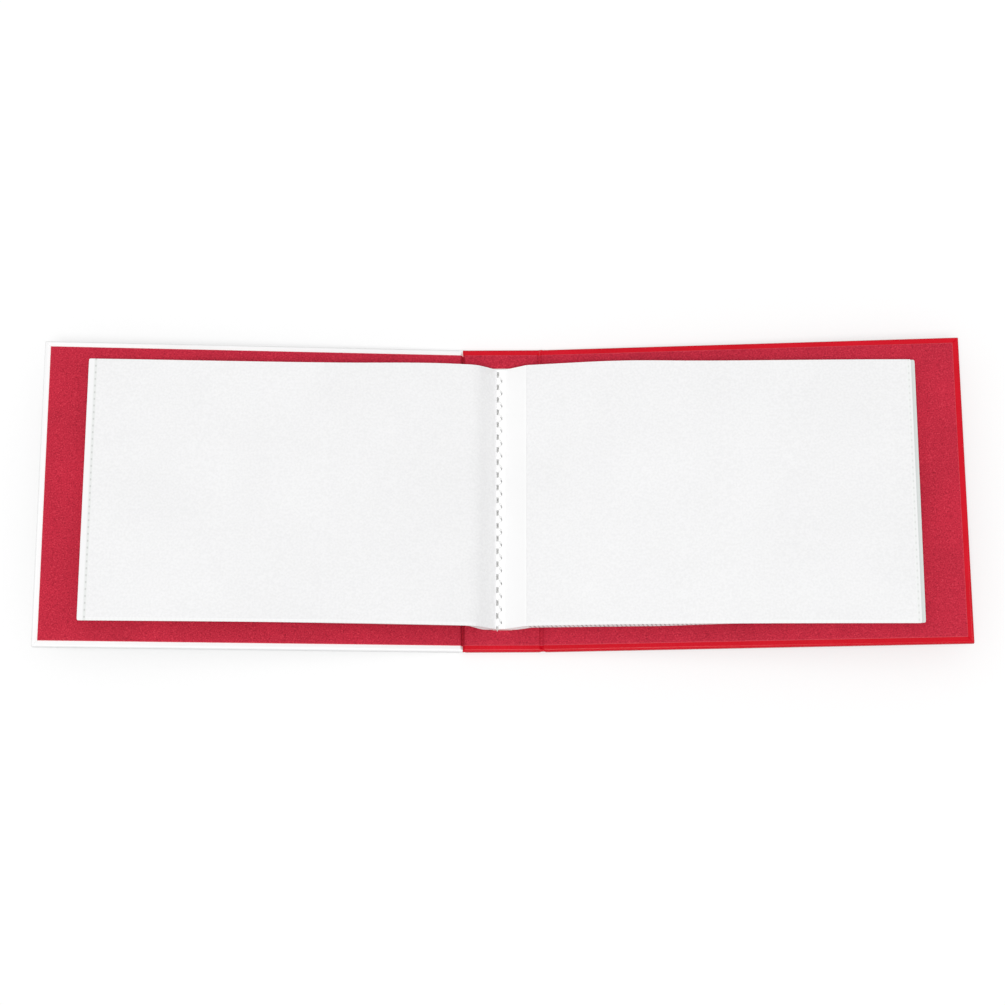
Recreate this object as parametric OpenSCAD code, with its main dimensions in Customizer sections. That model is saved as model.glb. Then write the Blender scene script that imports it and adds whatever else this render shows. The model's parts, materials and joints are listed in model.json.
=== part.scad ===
// Slip-in photo album, lying open on its spine.
// A hinged case of three wrapped boards holds a sewn block of pocket leaves.
// X runs along the open spread, Y up the page and Z up from the table.
// The origin is on the table, under the middle of the spine.

/* [Photo] */
// Width of the prints that the pockets hold
photo_w = 152; // [100:1:200]
// Height of the prints that the pockets hold
photo_h = 102; // [75:1:150]
// Play across the width of a print in its pocket
pocket_play_w = 4; // [1:0.5:10]
// Play over the height of a print in its pocket
pocket_play_h = 6; // [1:0.5:12]

/* [Case] */
// Width of the spine from hinge line to hinge line
spine_w = 31.5; // [26:0.5:45]
// How far the open covers stand out past the leaves at the fore-edge
fore_overhang = 17; // [8:0.5:25]
// How far the covers stand out past the leaves at the head and the tail
head_overhang = 8.5; // [4:0.5:15]
// Thickness of the board in the covers and the spine
board_t = 2.4; // [1.5:0.1:4]
// Thickness of the wrap over the boards
wrap_t = 0.3; // [0.2:0.05:0.6]
// Thickness of the liner on the inner faces
liner_t = 0.3; // [0.2:0.05:0.6]
// Width of the wrap that shows around the liner
border = 2.4; // [1:0.1:5]
// Width of the wrap that is turned in over the inner faces
turn_in = 14; // [8:1:20]
// Gap between each board and its hinge line
hinge_gap = 1.4; // [1:0.1:2.5]
// Slope of the open covers, in degrees
cover_tilt = 4.8; // [0:0.1:8]

/* [Leaves] */
// Number of sewn sheets, each with a leaf on both sides
sheet_count = 6; // [2:1:7]
// Thickness of one film
film_t = 0.15; // [0.1:0.05:0.3]
// Distance from the gutter to the crease of a flat leaf
margin_reach = 10.3; // [8.5:0.1:14]
// How much further each leaf reaches than the one above it
leaf_creep = 0.15; // [0:0.05:0.4]
// Rise of the lowest leaf's crease above its fold
low_crease = 0.95; // [0.8:0.05:1.5]
// How much more each leaf's crease rises than the one below it
crease_step = 1; // [0.5:0.05:1.3]
// Gap between the cover's liner and the lowest leaf at the fore-edge
leaf_rest_gap = 0.3; // [0.15:0.05:1]
// Spacing of the leaves at the fore-edge
leaf_pitch = 0.75; // [0.7:0.05:1.2]
// Radius of the leaves' outer corners
leaf_corner_r = 1.2; // [0.5:0.1:4]

/* [Binding] */
// Thickness of the binding strip above its thread channel
strip_web = 0.15; // [0.1:0.05:0.5]
// Width of film outside the needle slits on the top fold
fold_edge = 0.3; // [0.2:0.05:1]
// How much wider each fold is, on each side, than the one above it
fold_step = 0.45; // [0.4:0.05:0.8]
// Distance between the two columns of the zigzag seam
seam_w = 1.9; // [1.2:0.1:2.6]
// Distance from one slit to the next in a column
stitch_pitch = 5.2; // [4.6:0.2:8]
// Distance from the seam to the head and the tail of the leaves
seam_inset = 1.5; // [1:0.5:8]
// Diameter of the thread
thread_d = 0.3; // [0.2:0.05:0.35]
// Width of a needle slit
slit_w = 0.7; // [0.5:0.05:1]
// Length of a needle slit
slit_l = 2; // [1.6:0.1:2.2]

/* [Fit] */
// Running clearance where a piece turns beside another
hinge_clear = 0.05; // [0.02:0.01:0.1]
// Clearance between threads, and between a thread and its channel
thread_clear = 0.05; // [0.02:0.01:0.1]

/* [Hidden] */
cut_over = 1;
bead_sides = 32;
thread_sides = 6;
LEFT = -1;
RIGHT = 1;
SIDES = [LEFT, RIGHT];

// Sizes of the leaves
pocket_w = photo_w + pocket_play_w;
leaf_h = photo_h + pocket_play_h;
leaf_reach = margin_reach + pocket_w;
leaf_t = 2 * film_t;

// Levels of the spine, from the table up
spine_board_z = wrap_t;
spine_turn_in_z = spine_board_z + board_t;
spine_liner_z = spine_turn_in_z + wrap_t;
spine_top_z = spine_liner_z + liner_t;
spine_board_half = spine_w / 2 - hinge_gap;

// The hinge lines run in the liner, and a cover is drawn about its own line:
// u runs from the line to the fore-edge, and v is the height above the line
hinge_x = spine_w / 2;
hinge_z = spine_liner_z + liner_t / 2;
cover_w = (leaf_reach + fore_overhang - hinge_x) / cos(cover_tilt);
cover_h = leaf_h + 2 * head_overhang;
cover_liner_low = -liner_t / 2;
cover_board_high = cover_liner_low - wrap_t;
cover_board_low = cover_board_high - board_t;
cover_low = cover_board_low - wrap_t;

// The opening that the turned-in wrap leaves, which the liner fills
window_end = cover_w - wrap_t - turn_in;
window_h = cover_h - 2 * (wrap_t + turn_in);

// Sizes of the seam, and levels of the binding strip and the folds on it
seam_l = leaf_h - 2 * seam_inset - slit_l;
stitch_count = floor(seam_l / (stitch_pitch / 2));
thread_low_z = spine_top_z + thread_clear + thread_d / 2;
bobbin_z = thread_low_z + thread_d + thread_clear;
channel_h = bobbin_z + thread_d / 2 + thread_clear - spine_top_z;
channel_half = seam_w / 2 + slit_w / 2;
strip_t = channel_h + strip_web;
fold_low_z = spine_top_z + strip_t;
fold_top_z = fold_low_z + sheet_count * leaf_t;
thread_high_z = fold_top_z + thread_d / 2;
thread_leg = slit_l / 2 - thread_d / 2 - 2 * thread_clear;

// Sheets are numbered from 1 at the bottom to sheet_count at the top
function above(k) = sheet_count - k;
function fold_half(k) = channel_half + fold_edge + above(k) * fold_step;
function fold_z(k) = fold_low_z + (k - 1) * leaf_t;

// Gutter line, crease line and fore-edge of a leaf, as [x, z] on the right-hand side
function gutter(k) = [fold_half(k) + film_t + hinge_clear, fold_z(k) + film_t + hinge_clear];
function crease_z(k) = gutter(k)[1] + low_crease + (k - 1) * crease_step;
function edge_x(k) = leaf_reach + above(k) * leaf_creep;
function liner_top_z(x) = hinge_z + (x - hinge_x) * tan(cover_tilt) + liner_t / 2 / cos(cover_tilt);
function edge_z(k) = liner_top_z(edge_x(k)) + leaf_rest_gap + film_t + (k - 1) * leaf_pitch;
function pocket_slope(k) = asin((edge_z(k) - crease_z(k)) / pocket_w);
function crease(k) = [edge_x(k) - pocket_w * cos(pocket_slope(k)), crease_z(k)];
function margin_run(k) = crease(k) - gutter(k);
function margin_slope(k) = atan2(margin_run(k)[1], margin_run(k)[0]);

// A point of a cover, drawn about its hinge line, as [x, z] on the right-hand side
function cover_point(u, v) = [
    hinge_x + u * cos(cover_tilt) - v * sin(cover_tilt),
    hinge_z + u * sin(cover_tilt) + v * cos(cover_tilt)
];

// Slits of the zigzag seam, numbered along it from the tail
function slit(i) = [
    (i % 2 == 0 ? LEFT : RIGHT) * seam_w / 2,
    (i - stitch_count / 2) * stitch_pitch / 2
];
function slit_point(i, along, z) = [slit(i)[0], slit(i)[1] + along, z];

// The needle thread goes down at one end of each slit and comes up at the other
function needle_down(i) = [for (z = [thread_high_z, thread_low_z]) slit_point(i, -thread_leg, z)];
function needle_up(i) = [for (z = [thread_low_z, thread_high_z]) slit_point(i, thread_leg, z)];
needle_path = [
    for (i = [0 : stitch_count]) each concat(
        i == 0 ? [] : needle_down(i),
        i == stitch_count ? [] : needle_up(i)
    )
];
bobbin_path = [for (i = [0 : stitch_count]) slit_point(i, 0, bobbin_z)];

// A tube along a path of straight runs, mitred where the runs meet
function unit(v) = v / norm(v);
function run(path, i) = unit(path[i + 1] - path[i]);
function mitre(path, i) = i == len(path) - 1 ? run(path, i - 1) : unit(run(path, i - 1) + run(path, i));
function first_ring(path, r) =
    let (
        ahead = run(path, 0),
        aside = unit(cross(ahead, abs(ahead[2]) > 0.5 ? [1, 0, 0] : [0, 0, 1])),
        upright = cross(aside, ahead)
    )
    [for (j = [0 : thread_sides - 1]) let (a = 360 * j / thread_sides)
        path[0] + r * (cos(a) * aside + sin(a) * upright)];
function next_ring(path, ring, i) =
    let (ahead = run(path, i - 1), across = mitre(path, i))
    [for (p = ring) p + ahead * ((path[i] - p) * across) / (ahead * across)];
function rings(path, made) =
    len(made) == len(path)
        ? made
        : rings(path, concat(made, [next_ring(path, made[len(made) - 1], len(made))]));

module tube(path, d) {
    made = rings(path, [first_ring(path, d / 2)]);
    last = (len(path) - 1) * thread_sides;
    polyhedron(
        points = [for (ring = made) each ring],
        faces = concat(
            [for (i = [0 : len(path) - 2], j = [0 : thread_sides - 1])
                let (a = i * thread_sides + j, b = i * thread_sides + (j + 1) % thread_sides)
                each [[a, b, b + thread_sides], [a, b + thread_sides, a + thread_sides]]],
            [for (j = [1 : thread_sides - 2]) [0, j + 1, j]],
            [for (j = [1 : thread_sides - 2]) [last, last + j, last + j + 1]]
        )
    );
}

// Places what is drawn on the right-hand side on either side of the gutter
module on_side(side) {
    mirror([side == LEFT ? 1 : 0, 0, 0]) children();
}

// Places what is drawn flat about the Y axis on a sloping line, on one side
module sloped(side, at, slope) {
    on_side(side) translate([at[0], 0, at[1]]) rotate([0, -slope, 0]) children();
}

module on_cover(side) {
    sloped(side, [hinge_x, hinge_z], cover_tilt) children();
}

// A flat plate from u0 to u1, as high as the page, between two levels
module plate(u0, u1, high, low, top) {
    translate([u0, -high / 2, low]) cube([u1 - u0, high, top - low]);
}

// The round edge that a sheet turns on
module bead(r, high) {
    rotate([90, 0, 0]) cylinder(r = r, h = high, center = true, $fn = bead_sides);
}

module cover_board(side) {
    on_cover(side)
        plate(hinge_gap, cover_w - wrap_t, cover_h - 2 * wrap_t, cover_board_low, cover_board_high);
}

module cover_wrap(side) {
    open_side = hinge_gap - cut_over;
    on_cover(side) difference() {
        plate(hinge_gap, cover_w, cover_h, cover_low, cover_liner_low);
        plate(open_side, cover_w - wrap_t, cover_h - 2 * wrap_t, cover_board_low, cover_board_high);
        plate(open_side, window_end, window_h, cover_board_high - wrap_t, cut_over);
    }
}

module cover_liner(side) {
    liner_h = cover_h - 2 * border;
    on_cover(side) {
        bead(liner_t / 2, liner_h);
        plate(0, cover_w - border, liner_h, cover_liner_low, -cover_liner_low);
        plate(hinge_gap, window_end, window_h, cover_board_high, cover_liner_low);
    }
}

module front_cover_board() { color("tan") cover_board(LEFT); }

module front_cover_wrap() { color("whitesmoke") cover_wrap(LEFT); }

module front_cover_liner() { color("firebrick") cover_liner(LEFT); }

module back_cover_board() { color("tan") cover_board(RIGHT); }

module back_cover_wrap() { color("crimson") cover_wrap(RIGHT); }

module back_cover_liner() { color("firebrick") cover_liner(RIGHT); }

module spine_board() {
    color("tan")
        plate(-spine_board_half, spine_board_half, cover_h - 2 * wrap_t, spine_board_z, spine_turn_in_z);
}

module spine_wrap() {
    open_half = spine_board_half + cut_over;
    color("crimson") difference() {
        plate(-spine_board_half, spine_board_half, cover_h, 0, spine_liner_z);
        plate(-open_half, open_half, cover_h - 2 * wrap_t, spine_board_z, spine_turn_in_z);
        plate(-open_half, open_half, window_h, spine_turn_in_z - wrap_t, spine_liner_z + cut_over);
    }
}

module spine_liner() {
    liner_half = hinge_x - liner_t / 2 - hinge_clear;
    color("firebrick") {
        plate(-liner_half, liner_half, cover_h - 2 * border, spine_liner_z, spine_top_z);
        plate(-spine_board_half, spine_board_half, window_h, spine_turn_in_z, spine_liner_z);
    }
}

// The stretch of wrap that crosses under a hinge, from the spine to the cover
module hinge_cloth(side) {
    on_side(side) rotate([90, 0, 0]) linear_extrude(cover_h, center = true) polygon([
        [spine_board_half, 0],
        cover_point(hinge_gap, cover_low),
        cover_point(hinge_gap, cover_board_low),
        [spine_board_half, wrap_t]
    ]);
}

module front_hinge_cloth() { color("crimson") hinge_cloth(LEFT); }

module back_hinge_cloth() { color("crimson") hinge_cloth(RIGHT); }

module needle_slits(low, top) {
    for (i = [0 : stitch_count])
        translate([slit(i)[0] - slit_w / 2, slit(i)[1] - slit_l / 2, low])
            cube([slit_w, slit_l, top - low]);
}

// The strip that is glued to the spine, with a channel under the seam for the lower thread
module binding_strip() {
    channel_l = seam_l + slit_l;
    color("gainsboro") difference() {
        plate(-fold_half(1), fold_half(1), leaf_h, spine_top_z, fold_low_z);
        plate(-channel_half, channel_half, channel_l, spine_top_z - cut_over, spine_top_z + channel_h);
        needle_slits(spine_top_z, fold_low_z + cut_over);
    }
}

// The sewn middle of a sheet, which lies flat in the gutter
module sheet_fold(k) {
    color("white") difference() {
        plate(-fold_half(k), fold_half(k), leaf_h, fold_z(k), fold_z(k) + leaf_t);
        needle_slits(fold_z(k) - cut_over, fold_z(k) + leaf_t + cut_over);
    }
}

module needle_thread() { color("ghostwhite") tube(needle_path, thread_d); }

module bobbin_thread() { color("ghostwhite") tube(bobbin_path, thread_d); }

// The binding margin of a leaf, from the gutter to the crease
module leaf_margin(side, k) {
    color("white") sloped(side, gutter(k), margin_slope(k)) {
        bead(film_t, leaf_h);
        plate(0, norm(margin_run(k)) - film_t - hinge_clear, leaf_h, -film_t, film_t);
    }
}

// Outline of a film from u0 to the fore-edge, with its two outer corners rounded
module film_outline(u0) {
    straight_w = pocket_w - leaf_corner_r - u0;
    straight_h = leaf_h - 2 * leaf_corner_r;
    translate([u0, -leaf_h / 2]) square([straight_w, leaf_h]);
    translate([u0, -straight_h / 2]) square([pocket_w - u0, straight_h]);
    for (end = [-1, 1])
        translate([pocket_w - leaf_corner_r, end * straight_h / 2]) circle(leaf_corner_r, $fn = bead_sides);
}

module leaf_back_film(side, k) {
    color("gainsboro") sloped(side, crease(k), pocket_slope(k)) {
        bead(film_t, leaf_h);
        translate([0, 0, -film_t]) linear_extrude(film_t) film_outline(0);
    }
}

module leaf_front_film(side, k) {
    color("aliceblue") sloped(side, crease(k), pocket_slope(k))
        linear_extrude(film_t) film_outline(film_t + hinge_clear);
}

function fold_name(k) = str("sheet_", k, "_fold");
function leaf_name(side, k, piece) = str(side == LEFT ? "left" : "right", "_leaf_", k, "_", piece);

spine_board();
spine_wrap();
spine_liner();
front_cover_board();
front_cover_wrap();
front_cover_liner();
front_hinge_cloth();
back_cover_board();
back_cover_wrap();
back_cover_liner();
back_hinge_cloth();
binding_strip();
needle_thread();
bobbin_thread();
for (k = [1 : sheet_count]) {
    sheet_fold(k);
    for (side = SIDES) {
        leaf_margin(side, k);
        leaf_back_film(side, k);
        leaf_front_film(side, k);
    }
}
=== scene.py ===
# Looks of a slip-in photo album that lies open on its spine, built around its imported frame.
# Lengths are in millimetres until a mesh is made. A section of the album is drawn once, as
# (x, z) on the right-hand side, and mirrored for the left-hand side.
import json
import math

import bmesh
import bpy
import numpy as np
from mathutils import Matrix, Vector


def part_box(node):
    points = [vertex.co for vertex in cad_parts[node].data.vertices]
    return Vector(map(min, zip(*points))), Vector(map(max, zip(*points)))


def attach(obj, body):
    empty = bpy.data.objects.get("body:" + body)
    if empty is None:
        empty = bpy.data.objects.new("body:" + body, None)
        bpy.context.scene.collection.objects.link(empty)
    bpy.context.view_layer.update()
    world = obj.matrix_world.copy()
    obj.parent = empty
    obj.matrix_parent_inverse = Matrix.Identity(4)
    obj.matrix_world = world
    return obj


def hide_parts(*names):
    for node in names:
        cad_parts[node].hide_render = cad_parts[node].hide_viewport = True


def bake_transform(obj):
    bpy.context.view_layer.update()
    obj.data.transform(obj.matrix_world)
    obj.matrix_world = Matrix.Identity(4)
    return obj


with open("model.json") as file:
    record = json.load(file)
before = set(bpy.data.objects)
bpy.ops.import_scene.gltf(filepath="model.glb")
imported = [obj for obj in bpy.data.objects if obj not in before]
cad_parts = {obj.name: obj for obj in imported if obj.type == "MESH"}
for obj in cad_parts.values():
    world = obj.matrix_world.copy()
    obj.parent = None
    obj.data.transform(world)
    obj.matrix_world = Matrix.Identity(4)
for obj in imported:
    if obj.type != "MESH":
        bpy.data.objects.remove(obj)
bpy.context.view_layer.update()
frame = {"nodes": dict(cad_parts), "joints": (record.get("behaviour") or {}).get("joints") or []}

MM = 0.001
LEFT, RIGHT = -1, 1
SIDES = (LEFT, RIGHT)
COVER = {LEFT: "front", RIGHT: "back"}
HAND = {LEFT: "left", RIGHT: "right"}

joints = {joint["name"]: joint for joint in frame["joints"]}


def box(node):
    """Lowest and highest corner of a CAD node."""
    return [np.array(corner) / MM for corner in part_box(node)]


def axis_point(joint):
    """Where a joint's axis crosses the section, as (x, z) on the right-hand side."""
    x, _, z = joints[joint]["pos_m"]
    return np.array((abs(x), z)) / MM


# Sizes that the frame gives
HINGE = axis_point("back_cover_hinge")
TILT = math.radians(90 - joints["back_cover_hinge"]["range_deg"][1])  # slope of an open cover
SPINE_HALF, CASE_HALF, SPINE_RIM = box("spine_wrap")[1]
LINER_HALF, SPINE_TOP = box("spine_liner")[1][1:]
WRAP_T = box("spine_board")[0][2]
LINER_T = SPINE_TOP - SPINE_RIM
HINGE_GAP = HINGE[0] - SPINE_HALF  # from the spine to a hinge line, and on from there to a cover
RIM = SPINE_RIM - HINGE[1]  # level of the wrap's inner face above the hinge line
OUTER = -HINGE[1]  # level of its outer face
COVER_FAR = box("back_cover_wrap")[1][0]
COVER_W = (COVER_FAR - HINGE[0] + OUTER * math.sin(TILT)) / math.cos(TILT)
BORDER = CASE_HALF - LINER_HALF  # width of wrap that shows round a liner
SHEETS = sum(name.startswith("sheet_") for name in frame["nodes"])
LEAF_HALF = box("sheet_1_fold")[1][1]
FOLD_T = box("sheet_1_fold")[1][2] - box("sheet_1_fold")[0][2]
FILM_T = FOLD_T / 2

# Sizes of the case's looks. The white front cover is LEFT, and the red back cover is RIGHT
TURN_IN = 14.0  # width of wrap turned in over a board's inner face
EDGE_R = 1.0  # radius outside the wrap, where it rolls over an edge
INSIDE_R_MIN = 0.04  # least radius inside the wrap
EDGE_STEPS = 6  # points round a quarter turn
SUPPORT = 0.06  # from a rolled edge to the next row of points
CORNER_PLAN_R = 0.4  # radius of a cover's corners, seen from above
MITRE_W = 0.35  # from the middle of a mitre to level wrap
MITRE_DEPTH = 0.2
GROOVE_DEPTH = {LEFT: 1.9, RIGHT: 0.8}  # depth of the groove pressed into a hinge
GROOVE_LIP = {LEFT: 0.0, RIGHT: 0.3}  # height of the lip beside it
GROOVE_RUN = (BORDER / 4, BORDER - 0.1)  # where it starts and is full, in from head and tail
GROOVE_HEIGHTS = (0.35, 0.75)  # where it starts and is full, as shares of a hinge's thickness
JOINT_PINCH = 0.75  # thickness left in the middle of a hinge

# Shares of the way across a hinge gap, from the spine to a cover
ACROSS_GAP = np.linspace(0, 1, 25)
GROOVE_PLACE = {LEFT: 0.5, RIGHT: 0.36}
GROOVE_SPREAD = {LEFT: 0.2, RIGHT: 0.3}
LIP_PLACE = 0.82
LIP_SPREAD = 0.15
PINCH_RUN = 0.4  # stretch at each end in which the outer face rises into the gap

# Sizes of the liner's looks
LINER_EDGE = 0.3  # width of its rounded edge
LINER_DROP = 0.12  # how far that edge drops
LINER_LIP = 0.1  # width of the last row of faces in that edge
LINER_STEP = 8.0  # widest gap between points
SPINE_COLUMNS = 9  # columns of points across the spine
WINDOW_IN = TURN_IN - BORDER  # from the liner's edge to the opening in the turned-in wrap
WINDOW_DIP = 0.1  # how far the liner dips over that opening
WINDOW_RUN = 1.5  # stretch in which it dips
WINDOW_CLEAR = 0.5  # from the opening out to the next row of points

# Sizes of the leaves' looks
ARCH = 2.1  # how far the top leaf's pocket arches up
ARCH_LEAN = 0.8  # below 1, the arch is highest on the gutter's side
GUTTER_BEND = 0.4  # reach of the bend where a margin leaves its fold
CREASE_BEND = {LEFT: 2.8, RIGHT: 1.0}  # reach of the bend at a crease
CREASE_IN = {LEFT: 1.2, RIGHT: 0.0}  # how much nearer to the gutter a crease lies than in the frame
POCKET_GAP = {LEFT: 0.0, RIGHT: 0.25}  # from a crease to the pocket's face
PILLOW = 0.22  # how far a slack front film stands off the back film
SLACK_SIDES = 18.0  # stretch in which it slackens, in from a pocket's sides
SLACK_TAIL = 20.0  # the same, up from its tail
CORNER_R = 0.6
HEAD_LOW = 1.0  # how far a head lies below where the frame has it
HEAD_SAG = {LEFT: 0.75, RIGHT: 0.1}  # how far a head sags in the middle
HEAD_SWELL = {LEFT: 0.55, RIGHT: 0.75}  # how far it swells near the gutter
SWELL_PLACE = {LEFT: 0.18, RIGHT: 0.3}  # middle of that swell, as a share of the leaf's length
SWELL_SPREAD = 0.15  # its half width, as such a share
TAIL_RISE = {LEFT: 0.3, RIGHT: -0.35}  # how far a tail rises towards the fore-edge
STEP_NEAR = {LEFT: 0.28, RIGHT: 0.14}  # how far a tail stands back from the one above, near the gutter
STEP_FAR = 0.28  # the same, further out
STEP_NEAR_RUN = (2.0, 10.0)  # stretch along the leaf in which the near step grows
STEP_FAR_RUN = {LEFT: (40.0, 90.0), RIGHT: (55.0, 95.0)}  # stretch in which the far step takes over
PULLED_IN = {LEFT: 2.1, RIGHT: 1.1}  # how far fore-edges lie in from where the frame has them
TOP_BACK = {LEFT: 0.0, RIGHT: 1.4}  # how far the top leaf stands back from the others

# Sizes of the welds
FORE_WELD = {LEFT: 2.8, RIGHT: 2.4}  # from a lower leaf's fore-edge to its line of dots
DOT_PITCH = 2.8
DOT_HALF = (0.35, 0.5)  # half a dot's size, across the line and along it
DOT_DEPTH = 0.1
DOT_SOFT = (0.5, 1.3)  # where a dot's grey fades, as squares of shares of its half size
LINE_SOFT = (0.3, 0.8)  # where the paler grey of the whole line fades, to each side of it
LINE_GREY = {LEFT: (0.735, 0.75, 0.74), RIGHT: (0.79, 0.80, 0.795)}
# Greys of the dots: partly the weld's own mark, partly painted shade of the dimples
DOT_GREY_AND_SHADE = {LEFT: (0.585, 0.595, 0.585), RIGHT: (0.70, 0.71, 0.70)}
TAIL_BAND = 1.4  # height of the weld at the tail
TICK_PITCH = 1.7
TICK_SOFT = (0.15, 0.25)  # where a tick fades, as shares of the pitch
TICK_FADE = (66.0, 84.0)  # about how far from the crease the row of painted shade ticks fades

# Spacing of the points on the leaves
POCKET_STEPS = 400  # points on a pocket's middle line
BEND_STEPS = 24  # points round a bend
RUN_REACH = 0.2  # distance to each side that gives a line's direction
MARGIN_STEPS = (0.3, 0.4)  # steps along the inner and the outer half of a margin
FACE_NEAR = 4.0  # length past the crease in which a pocket's face has finer steps
FACE_STEPS = (0.8, 4.0)  # steps within that length and past it
SHEET_NEAR = 5.0  # the same length on a sheet
SHEET_STEPS = (0.6, 5.0)
SHEET_ROWS = 9.0  # step up a sheet
FACE_ROWS = DOT_PITCH / 4  # step up a pocket's face
CORNER_ROWS = (1, 0.6, 0.3, 0.1, 0)  # rows at a rounded corner, as shares of its radius
CREASE_STEP = 0.02  # length in which a margin thins to the back film
FORE_ROW = 0.5  # from a fore-edge to a row of points beside it
NUDGE = 0.01  # less than any gap between points

# How the sewn block sits in the case: turned a little, and glued a little to the left
BLOCK_TURN = math.radians(-0.3)
BLOCK_SHIFT = -0.8

# Sizes of the zigzag seam
SEAM_X = {LEFT: -0.95, RIGHT: 0.6}  # places of its two columns of slits
STITCH_PITCH = 5.24  # from slit to slit in a column
SEAM_END = 2.0  # least distance from the last slit's middle to the head
SLIT_W = {LEFT: 0.85, RIGHT: 0.8}
SLIT_L = {LEFT: 2.3, RIGHT: 1.2}
SLIT_SLANT = 0.3  # how far each end of a slanting slit is shifted
THREAD_D = 0.32

# The thread's way through a slit: along it from its middle, and down, as shares of both lengths
DIVE = ((-1, 0), (-0.75, 0.25), (-0.6, 0.6), (0, 1), (0.6, 0.6), (0.75, 0.25), (1, 0))

FLAT_MAP = "flat_mm"  # UV map of places on a piece laid flat
JOIN = 1e-7  # points as close as this are one point, in metres
SHARP = math.radians(38)  # edges that turn by more than this stay sharp


def rise(value, start, end):
    """Goes smoothly from 0 to 1 as a value goes from start to end."""
    t = np.clip((value - start) / (end - start), 0, 1)
    return t * t * (3 - 2 * t)


def mirrored(places):
    """Places on both sides of the middle, from those on one side."""
    return [-place for place in reversed(places)] + places


def spread(stops, step):
    """Values from stop to stop, with no gap wider than step."""
    values = [np.array(stops[:1], float)]
    for a, b in zip(stops, stops[1:]):
        values.append(np.linspace(a, b, max(1, math.ceil((b - a) / step)) + 1)[1:])
    return np.concatenate(values)


# Meshes


class Surface:
    """Collects the faces of one piece, in millimetres on the right-hand side."""

    def __init__(self):
        self.points, self.flat, self.faces, self.kinds = [], [], [], []

    def slab(self, top, bottom, flat=None, keep=None, kinds=None, open_end=False):
        """Adds a closed sheet between two grids of points.

        flat gives each point's place on the piece laid flat, keep marks the cells that are there, and
        kinds gives each cell's place in the piece's materials. With open_end no wall closes the last
        column of points, because the sheet meets itself there."""
        rows, columns = top.shape[:2]
        count = rows * columns
        first = sum(len(p) for p in self.points)
        index = np.arange(count).reshape(rows, columns) + first
        if flat is None:
            flat = top[..., :2]
        if keep is None:
            keep = np.ones((rows - 1, columns - 1), bool)
        if kinds is None:
            kinds = np.zeros(keep.shape, int)
        held = np.pad(keep, 1)
        if open_end:
            held[1:-1, -1] = keep[:, -1]
        for i, j in zip(*np.nonzero(keep)):
            before = len(self.faces)
            corners = index[[i, i + 1, i + 1, i], [j, j, j + 1, j + 1]].tolist()
            self.faces.append(corners)
            self.faces.append([c + count for c in reversed(corners)])
            beside = (held[i + 1, j], held[i + 2, j + 1], held[i + 1, j + 2], held[i, j + 1])
            for n in range(4):
                if not beside[n]:
                    a, b = corners[n], corners[(n + 1) % 4]
                    self.faces.append([b, a, a + count, b + count])
            self.kinds += [int(kinds[i, j])] * (len(self.faces) - before)
        self.points += [top.reshape(-1, 3), bottom.reshape(-1, 3)]
        self.flat += [flat.reshape(-1, 2)] * 2

    def make(self, name, side, *materials, in_block=False):
        """The piece as an object in metres, with its flat coordinates as a UV map."""
        points = np.vstack(self.points) * (side, 1, 1)
        if in_block:
            points = settled(points)
        flat = np.vstack(self.flat).astype(np.float32)
        mesh = bpy.data.meshes.new(name)
        mesh.from_pydata((points * MM).tolist(), [], self.faces)
        mesh.polygons.foreach_set("material_index", self.kinds)
        corner = np.empty(len(mesh.loops), np.int32)
        mesh.loops.foreach_get("vertex_index", corner)
        layer = mesh.uv_layers.new(name=FLAT_MAP)
        layer.uv.foreach_set("vector", flat[corner].ravel())
        work = bmesh.new()
        work.from_mesh(mesh)
        bmesh.ops.remove_doubles(work, verts=work.verts[:], dist=JOIN)
        bmesh.ops.dissolve_degenerate(work, edges=work.edges[:], dist=JOIN)
        loose = [v for v in work.verts if not v.link_faces]
        bmesh.ops.delete(work, geom=loose, context="VERTS")
        bmesh.ops.recalc_face_normals(work, faces=work.faces[:])
        work.to_mesh(mesh)
        work.free()
        mesh.shade_smooth()
        mesh.set_sharp_from_angle(angle=SHARP)
        for material in materials:
            mesh.materials.append(material)
        return put(name, mesh)


def put(name, data):
    """A new object in the scene."""
    made = bpy.data.objects.new(name, data)
    bpy.context.scene.collection.objects.link(made)
    return made


def settled(points):
    """Points of the sewn block where it really sits in the case."""
    turn = np.array((
        (math.cos(BLOCK_TURN), -math.sin(BLOCK_TURN), 0),
        (math.sin(BLOCK_TURN), math.cos(BLOCK_TURN), 0),
        (0, 0, 1),
    ))
    return points @ turn.T + (BLOCK_SHIFT, 0, 0)


def on_cover(u, v):
    """A point of the open cover, u from its hinge line to the fore-edge and v above it, as (x, z)."""
    x = HINGE[0] + u * math.cos(TILT) - v * math.sin(TILT)
    z = HINGE[1] + u * math.sin(TILT) + v * math.cos(TILT)
    return np.stack(np.broadcast_arrays(x, z), -1)


def in_space(section, y):
    """Points of the section placed along the page, as (x, y, z)."""
    section, y = np.asarray(section), np.asarray(y)
    x, z, y = np.broadcast_arrays(section[..., 0], section[..., 1], y)
    return np.stack((x, y, z), -1)


# Materials

NOISE_SPAN = (0.3, 0.7)  # nearly all values of a noise lie in this span
FILM_GLOSS = {"Roughness": 0.42, "Specular_IOR_Level": 0.35}
WELD_GLOSS = {"Roughness": 0.38, "Specular_IOR_Level": 0.35}
WEAVE = 1.6  # size of the binding strip's weave


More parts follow.
